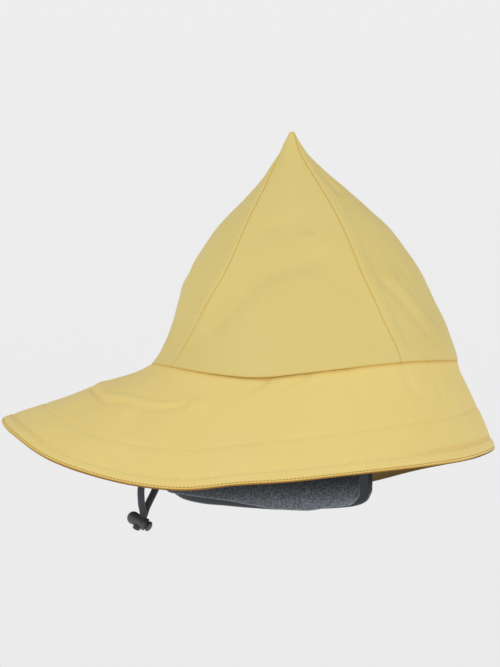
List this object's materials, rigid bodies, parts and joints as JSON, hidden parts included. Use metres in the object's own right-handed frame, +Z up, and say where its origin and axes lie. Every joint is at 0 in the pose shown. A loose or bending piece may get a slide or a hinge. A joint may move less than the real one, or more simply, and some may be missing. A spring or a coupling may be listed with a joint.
{
  "type": "sou'wester rain hat",
  "caption": "Sou'wester rain hat with a pointed gored crown, a sloping brim that is long at the back, fleece ear flaps and an elastic drawcord with a cord lock.",
  "frame": {"origin": "middle of the head opening, at the level of the seam between crown and brim", "axes": "+Z up to the crown's point, -Y to the hat's front, +Y to the long back of the brim, -X to the wearer's right"},
  "size_m": [0.2306, 0.3113, 0.2503],
  "materials": {
    "rain_cloth": "smooth matt coated rain cloth",
    "fleece": "brushed fleece",
    "elastic_cord": "braided elastic",
    "lock_plastic": "fine matt moulding"
  },
  "bodies": {
    "hat": {"crown_front_gore": "rain_cloth", "crown_back_gore": "rain_cloth", "crown_left_gore": "rain_cloth", "crown_right_gore": "rain_cloth", "brim": "rain_cloth", "brim_facing": "rain_cloth", "ear_flap_right": "fleece", "ear_flap_left": "fleece", "nape_band": "fleece", "drawcord_right": "elastic_cord", "drawcord_left": "elastic_cord", "drawcord_end_right": "elastic_cord", "drawcord_end_left": "elastic_cord", "cord_lock_barrel": "lock_plastic"},
    "lock_button": {"cord_lock_button": "lock_plastic"}
  },
  "joints": [
    {"name": "button_press", "type": "slide", "parent": "hat", "child": "lock_button", "axis": [0, 0.8746, 0.4848], "range_m": [0, 0.0016], "stiffness_N_per_m": 450}
  ]
}
